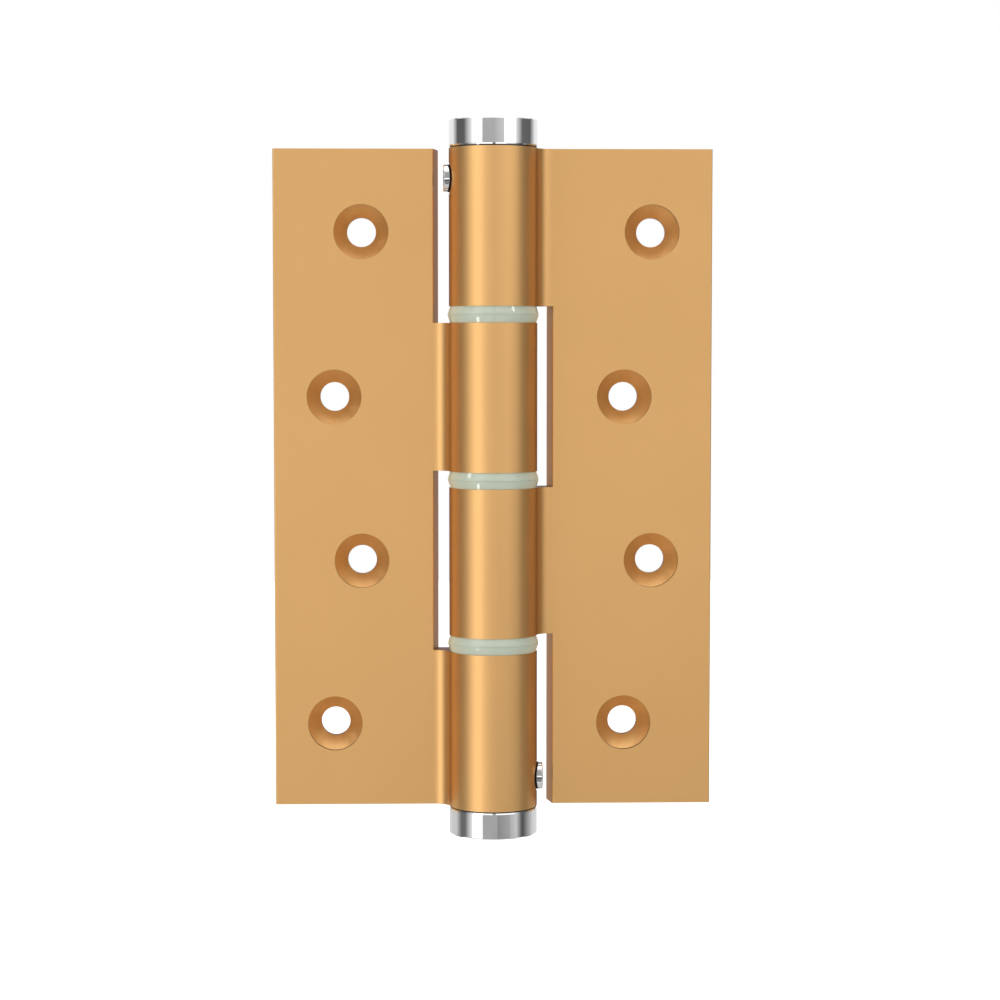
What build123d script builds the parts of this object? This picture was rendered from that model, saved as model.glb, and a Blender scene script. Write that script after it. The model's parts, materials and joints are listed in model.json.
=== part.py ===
"""Single action spring hinge: two aluminium leaves on a nylon-bushed barrel with a spring inside.

The origin is on the hinge axis at half height. +Z is up along the axis, the leaves lie open
and flat along X, and their countersunk faces look towards -Y. All lengths are in millimetres.
"""

from build123d import *
import os

# Leaves, as opened flat
leaf_height = 120.0
open_width = 80.0
leaf_thickness = 4.5
outer_edge_radius = 0.25
face_setback = 0.85  # how far the countersunk faces lie behind the hinge axis

# Barrel and its knuckles, from the top: right, left, right, left
barrel_diameter = 16.1
barrel_wall = 2.05
end_knuckle_length = 28.5
root_radius = 3.0  # hollow between the countersunk face and the barrel
back_root_radius = 1.5

# Edge of a leaf beside the other leaf's knuckle
notch_front_gap = 2.82  # from the barrel's side, at the countersunk face
notch_back_gap = 1.95  # the same at the back face
notch_edge_radius = 0.3

# Screw holes, in two staggered columns
hole_diameter = 5.3
head_diameter = 10.0
head_recess = 0.9
countersink_angle = 90.0
near_column = 24.0
far_column = 29.0
hole_pitch = 30.0

# Nylon bushes, a pair for each gap between two knuckles
flange_thickness = 1.5
flange_overhang = 0.25  # of the rim's edge, beyond the barrel
flange_seat_inset = 0.18  # of the rim's foot, inside the barrel
flange_edge_height = 0.5  # of the rounding at the rim's edge
sleeve_wall = 0.83
sleeve_length = 9.0

# Fits
seat_clearance = 0.02  # pressed pieces, on the radius
running_clearance = 0.05  # turning pieces, on the radius
flange_clearance = 0.02  # between two flanges that run on each other
end_clearance = 0.1  # between pieces that meet end to end

# Tube that the knuckles turn on, and the spring inside it
tube_wall = 0.6
wire_diameter = 1.7
spring_clearance = 0.1

# Chromed caps: each is the head of a plug that holds one end of the spring
cap_height = 4.8
cap_chamfer = 0.15
cap_foot_height = 0.25  # of the slope round the cap's edge beside the washer
cap_foot_inset = 0.1
washer_thickness = 0.25
washer_inset = 0.2
plug_depth = 11.0
spigot_length = 6.0
spigot_chamfer = 0.3
slot_depth = 2.6
slot_clearance = 0.05
key_size = 5.0
key_depth = 4.0

# Set screws that lock the plugs
screw_diameter = 5.0
screw_length = 4.0
screw_inset = 5.4  # from the end of the knuckle to the screw's axis
screw_point_chamfer = 0.7
screw_head_chamfer = 0.15
screw_key_size = 2.5
screw_key_depth = 2.0
screw_mouth_diameter = 6.0
screw_mouth_depth = 1.0
groove_depth = 0.95
groove_clearance = 0.15
tip_clearance = 0.05

# Derived places
barrel_radius = barrel_diameter / 2
bore_radius = barrel_radius - barrel_wall
half_height = leaf_height / 2
front_face = face_setback
back_face = face_setback + leaf_thickness
gap_height = 2 * flange_thickness + flange_clearance
inner_knuckle_length = (leaf_height - 2 * end_knuckle_length - 3 * gap_height) / 2
knuckle_1_bottom = half_height - end_knuckle_length
knuckle_2_top = knuckle_1_bottom - gap_height
knuckle_2_bottom = knuckle_2_top - inner_knuckle_length

sleeve_radius = bore_radius - seat_clearance
sleeve_bore_radius = sleeve_radius - sleeve_wall
tube_radius = sleeve_bore_radius - running_clearance
tube_bore_radius = tube_radius - tube_wall
spring_radius = tube_bore_radius - spring_clearance
spring_bore_radius = spring_radius - wire_diameter
shank_radius = bore_radius - running_clearance
groove_width = screw_diameter + 2 * groove_clearance
screw_height = half_height - screw_inset
groove_radius = shank_radius - groove_depth
screw_tip = groove_radius + tip_clearance
screw_end = screw_tip + screw_length

shank_end = half_height - plug_depth
spigot_end = shank_end - spigot_length
cap_base = half_height + washer_thickness
tube_half_length = shank_end - end_clearance
spring_half_length = spigot_end - end_clearance

rim_edge = (barrel_radius + flange_overhang, -flange_thickness)
rim_foot = (barrel_radius - flange_seat_inset, 0)
rim_slope = (rim_edge[0] - rim_foot[0]) / (flange_thickness - flange_edge_height / 2)
rim_turn = (rim_edge[0] - rim_slope * flange_edge_height / 2, rim_edge[1] + flange_edge_height)

front_plane = Plane(origin=(0, front_face, 0), x_dir=(1, 0, 0), z_dir=(0, -1, 0))


def mirrored_over(shape):
    """The same piece turned half a turn about Y, from one end of the hinge to the other."""
    return shape.rotate(Axis.Y, 180)


# Left leaf: plate, second and fourth knuckle, screw holes and the tapped hole
left_knuckles = [(knuckle_2_bottom, inner_knuckle_length), (-half_height, end_knuckle_length)]
left_holes = [
    (-near_column, 1.5 * hole_pitch),
    (-far_column, 0.5 * hole_pitch),
    (-near_column, -0.5 * hole_pitch),
    (-far_column, -1.5 * hole_pitch),
]
notch_front = barrel_radius + notch_front_gap
notch_back = barrel_radius + notch_back_gap
web_end = notch_front + root_radius

with BuildPart() as left_leaf:
    with BuildSketch(Plane.XY.offset(-half_height)):
        with BuildLine():
            Polyline(
                (-open_width / 2, front_face),
                (-notch_front, front_face),
                (-notch_back, back_face),
                (-open_width / 2, back_face),
                close=True,
            )
        make_face()
        inner_edge = vertices().group_by(Axis.Y)[0].sort_by(Axis.X)[-1]
        fillet(inner_edge, radius=notch_edge_radius)
        fillet(vertices().group_by(Axis.X)[0], radius=outer_edge_radius)
    extrude(amount=leaf_height)
    for bottom, length in left_knuckles:
        with BuildSketch(Plane.XY.offset(bottom)):
            Circle(barrel_radius)
            with Locations((-web_end / 2, (front_face + back_face) / 2)):
                Rectangle(web_end, leaf_thickness)
            roots = vertices().filter_by(lambda v: -barrel_radius < v.X < -seat_clearance)
            fillet(roots.sort_by(Axis.Y)[0], radius=root_radius)
            roots = vertices().filter_by(lambda v: v.Y >= back_face - seat_clearance)
            fillet(roots.sort_by(Axis.X)[-1], radius=back_root_radius)
        extrude(amount=length)
    with BuildSketch(Plane.XY.offset(-half_height)):
        Circle(bore_radius)
    extrude(amount=leaf_height, mode=Mode.SUBTRACT)
    with BuildSketch(front_plane):
        with Locations(*left_holes):
            Circle(head_diameter / 2)
    extrude(amount=-head_recess, mode=Mode.SUBTRACT)
    with Locations(front_plane.offset(-head_recess)):
        with Locations(*left_holes):
            CounterSinkHole(
                radius=hole_diameter / 2,
                counter_sink_radius=head_diameter / 2,
                depth=leaf_thickness,
                counter_sink_angle=countersink_angle,
            )
    with Locations(Plane(origin=(barrel_radius, 0, -screw_height), z_dir=(1, 0, 0))):
        CounterBoreHole(
            radius=screw_diameter / 2 + running_clearance,
            counter_bore_radius=screw_mouth_diameter / 2,
            counter_bore_depth=screw_mouth_depth,
            depth=barrel_radius,
        )
left_leaf.part.label = "left_leaf"

# Right leaf: the same piece turned end over end
with BuildPart() as right_leaf:
    add(mirrored_over(left_leaf.part))
right_leaf.part.label = "right_leaf"

# Bush with its flange below and its sleeve above, at the lower end of a knuckle
with BuildPart() as bush:
    with BuildSketch(Plane.XZ):
        with BuildLine():
            Polyline(
                rim_turn,
                rim_foot,
                (sleeve_radius, 0),
                (sleeve_radius, sleeve_length),
                (sleeve_bore_radius, sleeve_length),
                (sleeve_bore_radius, -flange_thickness),
                rim_edge,
            )
            TangentArc(rim_turn, rim_edge, tangent=(rim_slope, -1))
        make_face()
    revolve(axis=Axis.Z)

# Tube through all the bushes
with BuildPart() as hinge_tube:
    with BuildSketch(Plane.XY.offset(-tube_half_length)):
        Circle(tube_radius)
        Circle(tube_bore_radius, mode=Mode.SUBTRACT)
    extrude(amount=2 * tube_half_length)
hinge_tube.part.label = "hinge_tube"

# Closed-wound torsion spring, as the sleeve its coils fill, with a straight tang at each end
with BuildPart() as closing_spring:
    with BuildSketch(Plane.XY.offset(-spring_half_length)):
        Circle(spring_radius)
        Circle(spring_bore_radius, mode=Mode.SUBTRACT)
    extrude(amount=2 * spring_half_length)
    for end in (-1, 1):
        tang_height = end * (spring_half_length + wire_diameter / 4)
        tang_length = 2 * spring_radius - wire_diameter
        with BuildSketch(Plane.YZ.offset(-tang_length / 2)):
            with Locations((0, tang_height)):
                Circle(wire_diameter / 2)
        extrude(amount=tang_length)
closing_spring.part.label = "closing_spring"

# Cap with its plug, in one turned piece
with BuildPart() as top_cap:
    with BuildSketch(Plane.XZ):
        with BuildLine():
            Polyline(
                (0, spigot_end),
                (spring_radius - spigot_chamfer, spigot_end),
                (spring_radius, spigot_end + spigot_chamfer),
                (spring_radius, shank_end),
                (shank_radius, shank_end),
                (shank_radius, screw_height - groove_width / 2),
                (groove_radius, screw_height - groove_width / 2),
                (groove_radius, screw_height + groove_width / 2),
                (shank_radius, screw_height + groove_width / 2),
                (shank_radius, cap_base),
                (barrel_radius - cap_foot_inset, cap_base),
                (barrel_radius, cap_base + cap_foot_height),
                (barrel_radius, cap_base + cap_height - cap_chamfer),
                (barrel_radius - cap_chamfer, cap_base + cap_height),
                (0, cap_base + cap_height),
                close=True,
            )
        make_face()
    revolve(axis=Axis.Z)
    with BuildSketch(Plane.XY.offset(cap_base + cap_height)):
        RegularPolygon(radius=key_size / 2, side_count=6, major_radius=False)
    extrude(amount=-key_depth, mode=Mode.SUBTRACT)
    with BuildSketch(Plane.XY.offset(spigot_end)):
        Rectangle(2 * spring_radius, wire_diameter + 2 * slot_clearance)
    extrude(amount=slot_depth, mode=Mode.SUBTRACT)
top_cap.part.label = "top_cap"

with BuildPart() as bottom_cap:
    add(mirrored_over(top_cap.part))
bottom_cap.part.label = "bottom_cap"

# Washer between each cap and its knuckle
with BuildPart() as top_washer:
    with BuildSketch(Plane.XY.offset(half_height)):
        Circle(barrel_radius - washer_inset)
        Circle(shank_radius + running_clearance, mode=Mode.SUBTRACT)
    extrude(amount=washer_thickness)
top_washer.part.label = "top_washer"

with BuildPart() as bottom_washer:
    add(mirrored_over(top_washer.part))
bottom_washer.part.label = "bottom_washer"

# Set screw in the lowest knuckle, its point in the groove of the plug
with BuildPart() as bottom_set_screw:
    with BuildSketch(Plane.YZ.offset(screw_tip)):
        with Locations((0, -screw_height)):
            Circle(screw_diameter / 2)
    extrude(amount=screw_length)
    chamfer(edges().group_by(Axis.X)[0], length=screw_point_chamfer)
    chamfer(edges().group_by(Axis.X)[-1], length=screw_head_chamfer)
    with BuildSketch(Plane.YZ.offset(screw_end)):
        with Locations((0, -screw_height)):
            RegularPolygon(radius=screw_key_size / 2, side_count=6, major_radius=False)
    extrude(amount=-screw_key_depth, mode=Mode.SUBTRACT)
bottom_set_screw.part.label = "bottom_set_screw"

with BuildPart() as top_set_screw:
    add(mirrored_over(bottom_set_screw.part))
top_set_screw.part.label = "top_set_screw"

# Six bushes: one at each inner end of a knuckle, flange outward
bush_places = {
    "right_bush_upper": (knuckle_1_bottom, False),
    "left_bush_upper": (knuckle_2_top, True),
    "left_bush_middle": (knuckle_2_bottom, False),
    "right_bush_middle": (-knuckle_2_bottom, True),
    "right_bush_lower": (-knuckle_2_top, False),
    "left_bush_lower": (-knuckle_1_bottom, True),
}
bushes = []
for name, (height, flange_up) in bush_places.items():
    with BuildPart() as placed_bush:
        turned = mirrored_over(bush.part) if flange_up else bush.part
        add(turned.moved(Location((0, 0, height))))
    placed_bush.part.label = name
    bushes.append(placed_bush.part)

pieces = [
    left_leaf.part,
    right_leaf.part,
    hinge_tube.part,
    closing_spring.part,
    top_cap.part,
    bottom_cap.part,
    top_washer.part,
    bottom_washer.part,
    top_set_screw.part,
    bottom_set_screw.part,
] + bushes

os.makedirs("parts", exist_ok=True)
for piece in pieces:
    export_step(piece, f"parts/{piece.label}.step")
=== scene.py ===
"""Looks of a single action spring hinge: satin gold anodised leaves, nylon bushes, chromed caps.

Everything is in metres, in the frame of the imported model: Z along the hinge axis, the leaves
open flat along X, the countersunk faces towards -Y.
"""

import json
import math

import bpy
from mathutils import Matrix, Vector


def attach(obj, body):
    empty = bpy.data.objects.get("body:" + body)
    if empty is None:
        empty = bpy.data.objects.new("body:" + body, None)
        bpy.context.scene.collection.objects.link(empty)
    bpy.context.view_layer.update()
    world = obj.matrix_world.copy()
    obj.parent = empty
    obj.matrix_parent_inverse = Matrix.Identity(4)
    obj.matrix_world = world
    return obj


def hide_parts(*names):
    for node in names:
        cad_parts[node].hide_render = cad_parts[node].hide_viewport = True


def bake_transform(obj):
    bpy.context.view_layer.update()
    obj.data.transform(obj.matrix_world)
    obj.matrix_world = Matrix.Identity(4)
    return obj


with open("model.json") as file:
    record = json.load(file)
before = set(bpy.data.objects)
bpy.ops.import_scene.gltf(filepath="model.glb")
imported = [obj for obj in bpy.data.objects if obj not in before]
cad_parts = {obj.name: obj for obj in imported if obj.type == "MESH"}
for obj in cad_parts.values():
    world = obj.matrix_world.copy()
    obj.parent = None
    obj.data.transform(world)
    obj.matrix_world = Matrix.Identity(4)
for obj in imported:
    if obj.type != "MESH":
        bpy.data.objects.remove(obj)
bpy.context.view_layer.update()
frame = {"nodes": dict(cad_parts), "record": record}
nodes = frame["nodes"]

MM_IN_METRE = 1000.0

# Camera, from a fit to the photo
IMAGE_SIZE = 1000.0
FOCAL_PIXELS = 2503.0
SENSOR_WIDTH = 36.0
CAMERA_PLACE = Vector((-0.01116, -0.45652, 0.02555))
CAMERA_YAW = math.radians(1.557)
CAMERA_PITCH = math.radians(3.681)
CLIP_START = 0.01
CLIP_END = 50.0


def make_camera():
    """The photo's camera: slightly above the middle and a little to the left, looking along +Y."""
    forward = Vector((
        math.sin(CAMERA_YAW) * math.cos(CAMERA_PITCH),
        math.cos(CAMERA_YAW) * math.cos(CAMERA_PITCH),
        -math.sin(CAMERA_PITCH),
    ))
    right = Vector((math.cos(CAMERA_YAW), -math.sin(CAMERA_YAW), 0.0))
    up = right.cross(forward)
    camera = bpy.data.objects.new("camera", bpy.data.cameras.new("camera"))
    camera.data.sensor_width = SENSOR_WIDTH
    camera.data.lens = FOCAL_PIXELS / IMAGE_SIZE * SENSOR_WIDTH
    camera.data.clip_start = CLIP_START
    camera.data.clip_end = CLIP_END
    turn = Matrix((right, up, -forward)).transposed().to_4x4()
    camera.matrix_world = Matrix.Translation(CAMERA_PLACE) @ turn
    bpy.context.collection.objects.link(camera)
    bpy.context.scene.camera = camera


# Node helpers. The owner is the material or the world that holds the nodes.


def feed(owner, value, socket):
    """Set a socket to a number or a colour, or link it to another socket."""
    if isinstance(value, float):
        socket.default_value = value
    elif isinstance(value, tuple):
        socket.default_value = (*value, 1.0)
    else:
        owner.node_tree.links.new(value, socket)


def new_material(name):
    """A node material, and the inputs of its Principled shader."""
    material = bpy.data.materials.new(name)
    material.use_nodes = True
    return material, material.node_tree.nodes["Principled BSDF"].inputs


def noise(owner, scale, detail=2.0):
    """Noise over a piece's own coordinates, with a scale for each axis in waves a metre."""
    tree = owner.node_tree
    place = tree.nodes.new("ShaderNodeTexCoord")
    stretch = tree.nodes.new("ShaderNodeMapping")
    stretch.inputs["Scale"].default_value = scale
    grain = tree.nodes.new("ShaderNodeTexNoise")
    grain.inputs["Scale"].default_value = 1.0
    grain.inputs["Detail"].default_value = detail
    feed(owner, place.outputs["Object"], stretch.inputs["Vector"])
    feed(owner, stretch.outputs["Vector"], grain.inputs["Vector"])
    return grain.outputs["Fac"]


def between(owner, factor, first, second):
    """A colour that runs from the first to the second with the factor."""
    mix = owner.node_tree.nodes.new("ShaderNodeMixRGB")
    feed(owner, factor, mix.inputs["Fac"])
    feed(owner, first, mix.inputs["Color1"])
    feed(owner, second, mix.inputs["Color2"])
    return mix.outputs["Color"]


def spread(owner, factor, low, high, start=0.0, end=1.0):
    """A number that runs from low to high while the factor runs from start to end."""
    level = owner.node_tree.nodes.new("ShaderNodeMapRange")
    level.inputs["From Min"].default_value = start
    level.inputs["From Max"].default_value = end
    level.inputs["To Min"].default_value = low
    level.inputs["To Max"].default_value = high
    feed(owner, factor, level.inputs["Value"])
    return level.outputs["Result"]


def math_node(owner, operation, *values):
    """The result of a Math node, whose inputs are sockets or numbers."""
    step = owner.node_tree.nodes.new("ShaderNodeMath")
    step.operation = operation
    for i, value in enumerate(values):
        feed(owner, value, step.inputs[i])
    return step.outputs["Value"]


def place_axes(owner):
    """X, Y and Z of a piece's own coordinates."""
    tree = owner.node_tree
    place = tree.nodes.new("ShaderNodeTexCoord")
    axes = tree.nodes.new("ShaderNodeSeparateXYZ")
    feed(owner, place.outputs["Object"], axes.inputs["Vector"])
    return axes.outputs["X"], axes.outputs["Y"], axes.outputs["Z"]


def length_of(owner, first, second):
    """Length of the vector of two numbers."""
    squares = []
    for value in (first, second):
        squares.append(math_node(owner, "POWER", math_node(owner, "ABSOLUTE", value), 2.0))
    return math_node(owner, "SQRT", math_node(owner, "ADD", *squares))


def hole_distance(owner, x, z):
    """Distance from the axis of the nearest screw hole, from the bolt patterns in the record."""
    nearest = None
    for mount in frame["record"]["mounts"]:
        if mount["kind"] != "bolt_pattern":
            continue
        pitch = mount["dims"]["spacing_y_mm"] / MM_IN_METRE
        across = math_node(owner, "SUBTRACT", x, mount["pos_m"][0])
        along = math_node(owner, "SUBTRACT", z, mount["pos_m"][2] + pitch / 2)
        along = math_node(owner, "WRAP", along, pitch / 2, -pitch / 2)
        distance = length_of(owner, across, along)
        nearest = distance if nearest is None else math_node(owner, "MINIMUM", nearest, distance)
    return nearest


# Gold skin of the leaves. Each pair of colours is the darker and the lighter of a faint cloud.
GOLD_COLOURS = ((0.785, 0.453, 0.176), (0.82, 0.476, 0.188))
GOLD_CLOUD = (60.0, 60.0, 60.0)
CLOUD_DETAIL = 1.0
GOLD_GRAIN = (9000.0, 9000.0, 120.0)
GOLD_ROUGHNESS = (0.35, 0.41)
GOLD_METALLIC = 0.90
GOLD_EDGE_TINT = (0.0, 0.10, 0.32)

# Screw holes: faces of recess and countersink, smoother and with the tool's fine rings, and a
# darker colour that is painted shade in these recesses
CUT_SHADE_COLOURS = ((0.70, 0.415, 0.166), (0.735, 0.436, 0.177))
CUT_ROUGHNESS_CHANGE = -0.06
CUT_RADIUS = 0.00503  # reaches just past the wall of the recess
CUT_BACK = 0.005  # Y between the countersink's foot and the back of the leaf
RING_PITCH = 0.00012
RING_DEPTH = 0.000002
RING_STRENGTH = 1.0


def anodised_gold():
    """Satin gold anodised aluminium: the grain runs along the extrusion, in Z.

    The holes' faces are smoother, with the turning rings as a bump; their darker colour is painted
    shade in the recesses.
    """
    material, shader = new_material("anodised_gold")
    x, y, z = place_axes(material)
    grain = noise(material, GOLD_GRAIN)
    cloud = noise(material, GOLD_CLOUD, CLOUD_DETAIL)
    from_hole = hole_distance(material, x, z)
    in_hole = math_node(material, "LESS_THAN", from_hole, CUT_RADIUS)
    in_front = math_node(material, "LESS_THAN", y, CUT_BACK)
    turned_and_shaded = math_node(material, "MULTIPLY", in_hole, in_front)
    skin_colour = between(material, cloud, *GOLD_COLOURS)
    # painted shade: the faces of the screw holes take a darker colour than the skin
    cut_shade_colour = between(material, cloud, *CUT_SHADE_COLOURS)
    feed(material, between(material, turned_and_shaded, skin_colour, cut_shade_colour), shader["Base Color"])
    skin_roughness = spread(material, grain, *GOLD_ROUGHNESS)
    change = math_node(material, "MULTIPLY", turned_and_shaded, CUT_ROUGHNESS_CHANGE)
    feed(material, math_node(material, "ADD", skin_roughness, change), shader["Roughness"])
    feed(material, GOLD_METALLIC, shader["Metallic"])
    feed(material, GOLD_EDGE_TINT, shader["Specular Tint"])
    phase = math_node(material, "MULTIPLY", from_hole, math.tau / RING_PITCH)
    ring = math_node(material, "MULTIPLY", math_node(material, "SINE", phase), turned_and_shaded)
    bump = material.node_tree.nodes.new("ShaderNodeBump")
    feed(material, RING_STRENGTH, bump.inputs["Strength"])
    feed(material, RING_DEPTH, bump.inputs["Distance"])
    feed(material, ring, bump.inputs["Height"])
    feed(material, bump.outputs["Normal"], shader["Normal"])
    return material


CHROME_COLOUR = (0.77, 0.77, 0.77)
CHROME_WAVES = (400.0, 400.0, 400.0)
CHROME_ROUGHNESS = (0.03, 0.07)


def chrome():
    """Polished chrome plate, with very faint waves in its polish."""
    material, shader = new_material("chrome")
    wave = noise(material, CHROME_WAVES)
    feed(material, CHROME_COLOUR, shader["Base Color"])
    feed(material, spread(material, wave, *CHROME_ROUGHNESS), shader["Roughness"])
    feed(material, 1.0, shader["Metallic"])
    return material


# Painted shade on the set screws: a dark, matt band on the thread inside the barrel's radius, for
# the shadow in the mouth of each hole, and where it ends.
# Each pair of numbers is that of the painted shade and that of the chrome.
SCREW_SHADE_COLOUR = (0.030, 0.012, 0.005)
SCREW_SHADE_SPECULAR = (0.05, 0.5)
SCREW_SHADE_ROUGHNESS = (0.6, 0.08)
SCREW_SHADE_METALLIC = (0.0, 1.0)
SCREW_SHADE_RADIUS = 0.0083  # from the hinge's axis
SCREW_SHADE_EDGE = 0.00004


def chrome_with_painted_shade():
    """Chrome with painted shade: dark and matt on the thread where it leaves the barrel, for the
    shadow in the mouth of the hole.
    """
    material, shader = new_material("chrome_with_painted_shade")
    from_axis = length_of(material, *place_axes(material)[:2])
    # painted shade: inside this radius from the hinge's axis the screw turns dark, matt and not
    # metallic
    clear = spread(material, from_axis, 0.0, 1.0, SCREW_SHADE_RADIUS - SCREW_SHADE_EDGE, SCREW_SHADE_RADIUS + SCREW_SHADE_EDGE)
    feed(material, between(material, clear, SCREW_SHADE_COLOUR, CHROME_COLOUR), shader["Base Color"])
    feed(material, spread(material, clear, *SCREW_SHADE_SPECULAR), shader["Specular IOR Level"])
    feed(material, spread(material, clear, *SCREW_SHADE_ROUGHNESS), shader["Roughness"])
    feed(material, spread(material, clear, *SCREW_SHADE_METALLIC), shader["Metallic"])
    return material


NYLON_COLOURS = ((0.64, 0.71, 0.57), (0.67, 0.74, 0.60))
NYLON_CLOUD = (300.0, 300.0, 300.0)
NYLON_GRAIN = (2500.0, 2500.0, 2500.0)
NYLON_ROUGHNESS = (0.06, 0.10)


def nylon():
    """Smooth moulded nylon, slightly cloudy."""
    material, shader = new_material("nylon")
    cloud = noise(material, NYLON_CLOUD)
    grain = noise(material, NYLON_GRAIN)
    feed(material, between(material, cloud, *NYLON_COLOURS), shader["Base Color"])
    feed(material, spread(material, grain, *NYLON_ROUGHNESS), shader["Roughness"])
    return material


def grained(name, scale, colours, roughness, metallic):
    """A material whose colour and roughness follow the same grain."""
    material, shader = new_material(name)
    grain = noise(material, scale)
    feed(material, between(material, grain, *colours), shader["Base Color"])
    feed(material, spread(material, grain, *roughness), shader["Roughness"])
    feed(material, metallic, shader["Metallic"])
    return material


# Matt washer with a fine grain, near black: its colour is painted shade for the dark gap between
# cap and knuckle
WASHER_SHADE_COLOURS = ((0.012, 0.012, 0.012), (0.03, 0.03, 0.03))
WASHER_GRAIN = (3000.0, 3000.0, 3000.0)
WASHER_ROUGHNESS = (0.5, 0.7)

# Drawn steel with fine lines round the part and a thin film of oil
STEEL_COLOURS = ((0.42, 0.42, 0.43), (0.58, 0.58, 0.60))
STEEL_LINES = (300.0, 300.0, 9000.0)
STEEL_ROUGHNESS = (0.22, 0.38)

SLOT_MATERIALS = {
    "anodised_aluminium": anodised_gold(),
    "chrome": chrome(),
    "nylon": nylon(),
    # the washer's near-black colour is painted shade for the gap under each cap
    "black_washer": grained("black_washer", WASHER_GRAIN, WASHER_SHADE_COLOURS, WASHER_ROUGHNESS, 0.0),
    "steel": grained("steel", STEEL_LINES, STEEL_COLOURS, STEEL_ROUGHNESS, 1.0),
}
for subpart in frame["record"]["subparts"]:
    for slot in nodes[subpart["node"]].material_slots:
        slot.material = SLOT_MATERIALS[subpart["material_slot"]]


def mesh_piece(name, corners, faces, material, sharp_angle):
    """A smooth-shaded piece from its corners in metres, for a material slot of the record."""
    mesh = bpy.data.meshes.new(name)
    mesh.from_pydata(corners, [], faces)
    mesh.materials.append(material)
    mesh.shade_smooth()
    mesh.set_sharp_from_angle(angle=math.radians(sharp_angle))
    mesh.update()
    piece = bpy.data.objects.new(name, mesh)
    bpy.context.collection.objects.link(piece)
    return piece


# Set screws, in metres. A screw runs outwards along X from its point at SCREW_POINT.
SCREW_POINT = 0.00505
SCREW_LENGTH = 0.0040
SCREW_HEIGHT = 0.0546
SCREW_RADIUS = 0.0025
SCREW_SIDES = 96
SCREW_STEPS = 120
SCREW_SHARP_ANGLE = 38.0
# the screws' chrome, with painted shade where they sit in the mouth of their holes
SCREW_MATERIAL = chrome_with_painted_shade()
THREAD_PITCH = 0.0008
THREAD_DEPTH = 0.00008
THREAD_END = 0.0029
THREAD_FADE = 0.0004
POINT_CHAMFER = 0.0007
POINT_RING = 0.0012  # radius of a ring on the point's flat face
HEAD_CHAMFER = 0.00015
KEY_SIZE = 0.0025
KEY_DEPTH = 0.0020
KEY_CHAMFER = 0.00008
KEY_CONE = 0.0003  # depth of the drill's cone at the foot of the key hole
KEY_SIDE = math.radians(60.0)


def thread_radius(along, turn):
    """Radius of the screw's surface at a place along it and an angle round it."""
    phase = along / THREAD_PITCH * math.tau - turn
    depth = THREAD_DEPTH * min(1.0, max(0.0, (THREAD_END - along) / THREAD_FADE))
    radius = SCREW_RADIUS - depth * (1.0 - math.cos(phase)) / 2
    point = SCREW_RADIUS - POINT_CHAMFER + along
    head = SCREW_RADIUS - HEAD_CHAMFER + (SCREW_LENGTH - along)
    return min(radius, point, head)


def key_radius(turn):
    """Distance from the axis to the side of the hexagonal key hole."""
    return KEY_SIZE / 2 / math.cos((turn + KEY_SIDE / 2) % KEY_SIDE - KEY_SIDE / 2)


def make_set_screw(name, node, body, end):
    """A threaded set screw with a hexagonal key hole. end is 1 at the bottom and -1 at the top."""
    rings = [(0.0, lambda turn: POINT_RING)]
    for i in range(SCREW_STEPS + 1):
        x = SCREW_LENGTH * i / SCREW_STEPS
        rings.append((x, lambda turn, x=x: thread_radius(x, turn)))
    rings.append((SCREW_LENGTH, lambda turn: key_radius(turn) + KEY_CHAMFER))
    rings.append((SCREW_LENGTH - KEY_CHAMFER, key_radius))
    rings.append((SCREW_LENGTH - KEY_DEPTH, key_radius))
    corners = []
    for x, radius in rings:
        for k in range(SCREW_SIDES):
            turn = math.tau * k / SCREW_SIDES
            r = radius(turn)
            y, z = r * math.cos(turn), r * math.sin(turn)
            corners.append((end * (SCREW_POINT + x), y, end * (z - SCREW_HEIGHT)))
    faces = []
    for j in range(len(rings) - 1):
        here, ahead = j * SCREW_SIDES, (j + 1) * SCREW_SIDES
        for k in range(SCREW_SIDES):
            n = (k + 1) % SCREW_SIDES
            faces.append((here + k, here + n, ahead + n, ahead + k))
    point_middle = len(corners)
    key_middle = point_middle + 1
    for x in (0.0, SCREW_LENGTH - KEY_DEPTH - KEY_CONE):
        corners.append((end * (SCREW_POINT + x), 0.0, -end * SCREW_HEIGHT))
    last = (len(rings) - 1) * SCREW_SIDES
    for k in range(SCREW_SIDES):
        faces.append((point_middle, (k + 1) % SCREW_SIDES, k))
    for k in range(SCREW_SIDES):
        faces.append((key_middle, last + k, last + (k + 1) % SCREW_SIDES))
    screw = mesh_piece(name, corners, faces, SCREW_MATERIAL, SCREW_SHARP_ANGLE)
    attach(screw, body)
    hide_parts(node)


make_set_screw("bottom_threaded_screw", "bottom_set_screw", "bottom_lock_screw", 1)
make_set_screw("top_threaded_screw", "top_set_screw", "top_lock_screw", -1)

# Closing spring, in metres
WIRE_RADIUS = 0.00085
WIRE_SIDES = 12
WIRE_SHARP_ANGLE = 60.0
COIL_RADIUS = 0.00355
COIL_END = 0.04205  # height of the wire's middle where the coils end
COIL_TURNS = 49
STEPS_A_TURN = 40
COIL_END_ANGLE = -60.0  # round the axis, where the coils end at the top
COIL_START_ANGLE = -120.0

# Tang at each end of the spring: the wire bends inwards, rises and crosses the plug's slot
TANG_HEIGHT = 0.043325
BEND_MIDDLE = Vector((0.0016, 0.0, COIL_END + 0.0001))
BEND_PULL = 0.005  # how far the curve of the bend is drawn along its two end directions
BEND_STEPS = 24
TANG_STEPS = 12
TANG_RISE = 1.5  # the wire has risen after 1 / TANG_RISE of the crossing


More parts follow.
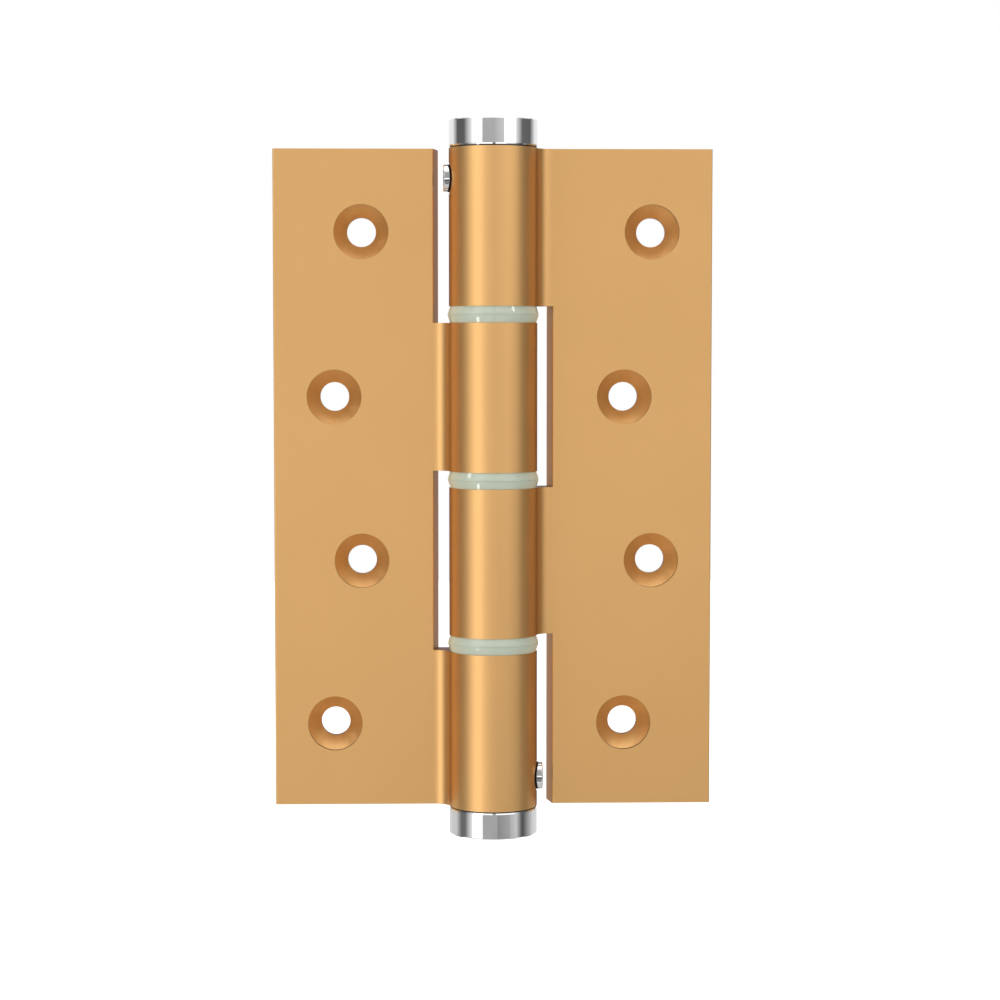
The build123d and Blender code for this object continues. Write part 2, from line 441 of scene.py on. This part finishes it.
def tang_line():
    """The wire's line from the end of the top coil across the plug's slot."""
    angle = math.radians(COIL_END_ANGLE)
    start = Vector((math.cos(angle), math.sin(angle), 0.0)) * COIL_RADIUS
    start.z = COIL_END
    leave = Vector((-math.sin(angle), math.cos(angle), 0.0)) * BEND_PULL
    arrive = Vector((-BEND_PULL, 0.0, 0.0))
    line = []
    for i in range(1, BEND_STEPS + 1):
        t = i / BEND_STEPS
        line.append(
            start * (2 * t ** 3 - 3 * t ** 2 + 1)
            + leave * (t ** 3 - 2 * t ** 2 + t)
            + BEND_MIDDLE * (3 * t ** 2 - 2 * t ** 3)
            + arrive * (t ** 3 - t ** 2)
        )
    for i in range(1, TANG_STEPS + 1):
        t = i / TANG_STEPS
        rise = min(t * TANG_RISE, 1.0)
        rise = rise * rise * (3 - 2 * rise)
        x = BEND_MIDDLE.x + (-COIL_RADIUS - BEND_MIDDLE.x) * t
        z = BEND_MIDDLE.z + (TANG_HEIGHT - BEND_MIDDLE.z) * rise
        line.append(Vector((x, 0.0, z)))
    return line


def spring_line():
    """The wire's line through both tangs and all coils, from the bottom up."""
    first = math.radians(COIL_START_ANGLE)
    last = math.radians(COIL_END_ANGLE + 360.0 * COIL_TURNS)
    steps = int((last - first) / math.tau * STEPS_A_TURN)
    line = [Vector((-p.x, p.y, -p.z)) for p in reversed(tang_line())]
    for i in range(steps + 1):
        a = first + (last - first) * i / steps
        z = COIL_END * (2 * i / steps - 1)
        line.append(Vector((COIL_RADIUS * math.cos(a), COIL_RADIUS * math.sin(a), z)))
    return line + tang_line()


def make_spring():
    """The close-wound torsion spring with a tang across each end."""
    line = spring_line()
    corners = []
    for i, middle in enumerate(line):
        ahead = line[min(i + 1, len(line) - 1)]
        behind = line[max(i - 1, 0)]
        way = (ahead - behind).normalized()
        aside = way.cross(Vector((0.0, 0.0, 1.0))).normalized()
        upward = aside.cross(way)
        for k in range(WIRE_SIDES):
            a = math.tau * k / WIRE_SIDES
            corners.append(middle + (aside * math.cos(a) + upward * math.sin(a)) * WIRE_RADIUS)
    faces = []
    for i in range(len(line) - 1):
        here, ahead = i * WIRE_SIDES, (i + 1) * WIRE_SIDES
        for k in range(WIRE_SIDES):
            n = (k + 1) % WIRE_SIDES
            faces.append((here + k, ahead + k, ahead + n, here + n))
    faces.append(tuple(range(WIRE_SIDES)))
    faces.append(tuple(reversed(range(len(corners) - WIRE_SIDES, len(corners)))))
    steel = SLOT_MATERIALS["steel"]
    spring = mesh_piece("wound_spring", corners, faces, steel, WIRE_SHARP_ANGLE)
    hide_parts("closing_spring")
    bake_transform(spring)


make_spring()

# Studio: sky, floor, softboxes, and a round wall of cards that only reflections show
WORLD_LIGHT = 0.55
FLOOR_SIZE = 12.0
FLOOR_HEIGHT = -0.6
FLOOR_COLOUR = (0.9, 0.9, 0.9)
FLOOR_ROUGHNESS = 0.8
FLOOR_LIFT = 0.8
WHITE = (1.0, 1.0, 1.0)
WALL_RADIUS = 1.6
CARD_FLOOR = -0.58  # height at which the wall turns into a floor of cards
CARD_STEPS_DOWN = 6
CARD_STEPS_ACROSS = 16
LAMP_DISTANCE = 1.2

# Nearness of cards that lie in front of others, as a part of the wall's distance
OVER_FADES = 0.99
OVER_FRONT = 0.98
OVER_ALL = 0.97
OVER_STRIPS = 0.96

# Elevations of the wall, in degrees: its ends, and the heights that the two caps reflect
WALL_TOP = 50.0
HIGH = 7.0
LOW = -13.0
WALL_BOTTOM = -60.0

# Ends of the front cards, which both caps reflect, and of the cards above and below them
FRONT_TOP = 7.7
FRONT_BOTTOM = -14.0
UPPER_TOP = 18.0
LOWER_BOTTOM = -22.0
FOOT_BOTTOM = -55.0

# Ends of the dim cards that lie over the front cards, and of the bright bars over the feet
MIDDLE_TOP = 6.0
MIDDLE_BOTTOM = -12.0
BAR_TOP = -34.0
BAR_BOTTOM = -38.5

# Ends of the cards behind the hinge that the flanks of the bottom cap reflect
EDGE_TOP = -11.8
EDGE_BOTTOM = -14.4

# Azimuths of the front's sides, and of the strip in it that the set screws reflect
FRONT_LEFT = -56.0
FRONT_RIGHT = 60.0
STRIP_LEFT = -3.0
STRIP_RIGHT = 6.0


def seen_directly(owner):
    """1 for the camera and for what metal and glass show, 0 for the light that falls on things."""
    rays = owner.node_tree.nodes.new("ShaderNodeLightPath").outputs
    seen = math_node(owner, "MAXIMUM", rays["Is Camera Ray"], rays["Is Glossy Ray"])
    return math_node(owner, "MAXIMUM", seen, rays["Is Transmission Ray"])


def make_world():
    """White for the camera and in reflections, and softer for the light that falls on the part."""
    world = bpy.data.worlds.new("studio")
    world.use_nodes = True
    background = world.node_tree.nodes["Background"].inputs
    feed(world, WHITE, background["Color"])
    feed(world, spread(world, seen_directly(world), WORLD_LIGHT, 1.0), background["Strength"])
    bpy.context.scene.world = world


def make_floor():
    """Plain pale floor, far enough below that the hinge seems to hang in front of white."""
    bpy.ops.mesh.primitive_plane_add(size=FLOOR_SIZE, location=(0.0, 0.0, FLOOR_HEIGHT))
    floor = bpy.context.object
    floor.name = "floor"
    material, shader = new_material("floor")
    feed(material, FLOOR_COLOUR, shader["Base Color"])
    feed(material, FLOOR_ROUGHNESS, shader["Roughness"])
    feed(material, WHITE, shader["Emission Color"])
    level = spread(material, seen_directly(material), 0.0, FLOOR_LIFT)
    feed(material, level, shader["Emission Strength"])
    floor.data.materials.append(material)


def direction(azimuth, elevation):
    """Unit vector away from the hinge: azimuth 0 is towards the camera, positive to the right."""
    a = math.radians(azimuth)
    e = math.radians(elevation)
    return Vector((math.sin(a) * math.cos(e), -math.cos(a) * math.cos(e), math.sin(e)))


def on_wall(azimuth, elevation):
    """The point of the studio's round wall, or of its floor, in a direction from the hinge."""
    way = direction(azimuth, elevation)
    reach = WALL_RADIUS / math.hypot(way.x, way.y)
    if way.z * reach < CARD_FLOOR:
        reach = CARD_FLOOR / way.z
    return way * reach


def glowing_card(name, corners, faces, shades):
    """The card's object: it glows in reflections, and lights or shades nothing."""
    mesh = bpy.data.meshes.new(name)
    mesh.from_pydata(corners, [], faces)
    mesh.attributes.new("shade", "FLOAT", "POINT").data.foreach_set("value", shades)
    card = bpy.data.objects.new(name, mesh)
    bpy.context.collection.objects.link(card)
    material = bpy.data.materials.new(name)
    material.use_nodes = True
    tree = material.node_tree
    tree.nodes.remove(tree.nodes["Principled BSDF"])
    glow = tree.nodes.new("ShaderNodeEmission")
    level = tree.nodes.new("ShaderNodeAttribute")
    level.attribute_name = "shade"
    feed(material, level.outputs["Fac"], glow.inputs["Strength"])
    feed(material, glow.outputs["Emission"], tree.nodes["Material Output"].inputs["Surface"])
    mesh.materials.append(material)
    card.visible_camera = False
    card.visible_diffuse = False
    card.visible_shadow = False


def make_card(name, rows, nearness=1.0):
    """A card on the studio's wall and floor, seen only in reflections.

    Each row, from the top down, is an elevation, the azimuths of the card's two sides there and
    its brightness at the two sides. In between it is blended. A nearness below 1 brings the card
    in front of the wall's other cards.
    """
    corners = []
    shades = []
    for upper, lower in zip(rows, rows[1:]):
        for j in range(CARD_STEPS_DOWN + 1):
            v = j / CARD_STEPS_DOWN
            elevation, left, right, first, last = (a + (b - a) * v for a, b in zip(upper, lower))
            for i in range(CARD_STEPS_ACROSS + 1):
                u = i / CARD_STEPS_ACROSS
                corners.append(on_wall(left + (right - left) * u, elevation) * nearness)
                shades.append(first + (last - first) * u)
    row_length = CARD_STEPS_ACROSS + 1
    faces = []
    for j in range(len(corners) // row_length - 1):
        for i in range(CARD_STEPS_ACROSS):
            p, q = j * row_length + i, (j + 1) * row_length + i
            faces.append((p, p + 1, q + 1, q))
    glowing_card(name, corners, faces, shades)


def make_tall_card(name, high, low):
    """A card over the wall's whole height, from its sides and its brightness at HIGH and LOW."""
    make_card(name, [(WALL_TOP, *high), (HIGH, *high), (LOW, *low), (WALL_BOTTOM, *low)])


def make_even_card(name, top, bottom, left, right, level, nearness=1.0):
    """A card of one brightness between two elevations and two azimuths."""
    rows = [(top, left, right, level, level), (bottom, left, right, level, level)]
    make_card(name, rows, nearness)


def make_lamp(name, azimuth, elevation, width, height, radiance):
    """A rectangular softbox that faces the hinge, with the radiance that a reflection shows."""
    lamp = bpy.data.lights.new(name, "AREA")
    lamp.shape = "RECTANGLE"
    lamp.size = width
    lamp.size_y = height
    lamp.energy = radiance * math.pi * width * height
    box = bpy.data.objects.new(name, lamp)
    place = direction(azimuth, elevation) * LAMP_DISTANCE
    box.location = place
    box.rotation_euler = (-place).to_track_quat("-Z", "Y").to_euler()
    box.visible_camera = False
    bpy.context.collection.objects.link(box)


bpy.context.scene.view_settings.view_transform = "Standard"
make_camera()
make_world()
make_floor()

# Dark flags beside the hinge, whose fades shade the flanks of barrel and caps
make_tall_card("left_back_fade", (-128.0, -108.0, 0.95, 0.14), (-122.0, -94.0, 0.90, 0.17))
make_tall_card("left_flag", (-108.0, -82.0, 0.12, 0.14), (-94.0, -80.0, 0.17, 0.18))
make_tall_card("left_front_fade", (-82.0, FRONT_LEFT, 0.14, 1.15), (-80.0, FRONT_LEFT, 0.18, 1.09))

# Cards in front, for the bright and grey bands of the caps
make_card("front_card_left", [
    (FRONT_TOP, -58.0, -2.0, 0.52, 0.52),
    (FRONT_BOTTOM, -58.0, 10.0, 0.47, 0.47),
])
make_card("front_card_right", [
    (FRONT_TOP, -2.0, 30.0, 0.52, 0.78),
    (FRONT_BOTTOM, 10.0, 44.0, 0.33, 0.47),
])
make_card("right_card", [
    (FRONT_TOP, 30.0, FRONT_RIGHT, 0.80, 1.00),
    (FRONT_BOTTOM, 44.0, FRONT_RIGHT, 0.56, 0.70),
])
make_tall_card("right_front_fade", (FRONT_RIGHT, 80.0, 1.00, 0.16), (FRONT_RIGHT, 78.0, 0.75, 0.12))
make_tall_card("right_flag", (80.0, 110.0, 0.16, 0.14), (78.0, 86.0, 0.13, 0.11))
make_tall_card("right_back_fade", (110.0, 134.0, 0.14, 0.95), (86.0, 130.0, 0.13, 0.86))

# Cards above, below and inside the front, for the shading of gold faces and set screws
make_even_card("middle_top", WALL_TOP, FRONT_TOP, STRIP_LEFT, STRIP_RIGHT, 0.42)
make_even_card("left_top", WALL_TOP, UPPER_TOP, FRONT_LEFT, STRIP_LEFT, 1.4)
make_even_card("right_top", WALL_TOP, UPPER_TOP, STRIP_RIGHT, FRONT_RIGHT, 1.4)
make_even_card("left_upper", UPPER_TOP, FRONT_TOP, FRONT_LEFT, STRIP_LEFT, 0.8)
make_even_card("right_upper", UPPER_TOP, FRONT_TOP, STRIP_RIGHT, FRONT_RIGHT, 0.96)
make_even_card("left_middle", MIDDLE_TOP, MIDDLE_BOTTOM, FRONT_LEFT, STRIP_LEFT, 0.15, OVER_FRONT)
make_even_card("right_middle", MIDDLE_TOP, MIDDLE_BOTTOM, STRIP_RIGHT, 56.0, 0.26, OVER_FRONT)
make_even_card("left_lower", FRONT_BOTTOM, LOWER_BOTTOM, FRONT_LEFT, STRIP_LEFT, 0.75)
make_even_card("right_lower", FRONT_BOTTOM, LOWER_BOTTOM, STRIP_LEFT, FRONT_RIGHT, 0.05)
make_even_card("middle_foot", LOWER_BOTTOM, FOOT_BOTTOM, STRIP_LEFT, STRIP_RIGHT, 0.25)
make_even_card("left_foot", LOWER_BOTTOM, FOOT_BOTTOM, FRONT_LEFT, STRIP_LEFT, 0.8)
make_even_card("right_foot", LOWER_BOTTOM, FOOT_BOTTOM, STRIP_RIGHT, FRONT_RIGHT, 0.8)
make_even_card("left_foot_strip", BAR_TOP, BAR_BOTTOM, -50.0, STRIP_LEFT, 1.5, OVER_ALL)
make_even_card("right_foot_strip", BAR_TOP, BAR_BOTTOM, STRIP_RIGHT, 50.0, 1.5, OVER_ALL)

# Cards behind and below the hinge, for grazing edges and for views from the other sides
make_even_card("back_top", 62.0, 30.0, 150.0, 210.0, 0.3)
make_even_card("back_low", -30.0, -57.0, 150.0, 210.0, 0.2)
make_card("left_low_edge", [
    (EDGE_TOP, -180.0, -119.0, 0.86, 0.70),
    (EDGE_BOTTOM, -180.0, -119.0, 0.86, 0.70),
], OVER_FADES)
make_card("right_low_edge", [
    (EDGE_TOP, 127.0, 180.0, 0.78, 0.90),
    (EDGE_BOTTOM, 127.0, 180.0, 0.78, 0.90),
], OVER_FADES)
make_even_card("ground", -58.0, -88.0, -180.0, 180.0, 0.68)

# Bright strip and small lights, for the band on the screws and the strokes on the bush rims
make_even_card("front_strip", -1.0, -7.0, -50.0, 50.0, 1.83, OVER_ALL)
make_even_card("upper_right_spark", 36.5, 32.8, 54.5, 61.5, 12.0, OVER_ALL)
make_even_card("upper_left_spark", 30.2, 26.0, -75.5, -66.0, 8.0, OVER_ALL)
make_even_card("lower_left_spark", -31.5, -40.5, -49.5, -42.0, 12.0, OVER_STRIPS)

make_lamp("left_softbox", azimuth=-43.5, elevation=0.0, width=0.62, height=1.9, radiance=0.92)
make_lamp("right_strip", azimuth=44.0, elevation=7.8, width=0.66, height=0.06, radiance=1.75)
make_lamp("overhead_softbox", azimuth=0.0, elevation=89.0, width=2.0, height=1.0, radiance=1.05)
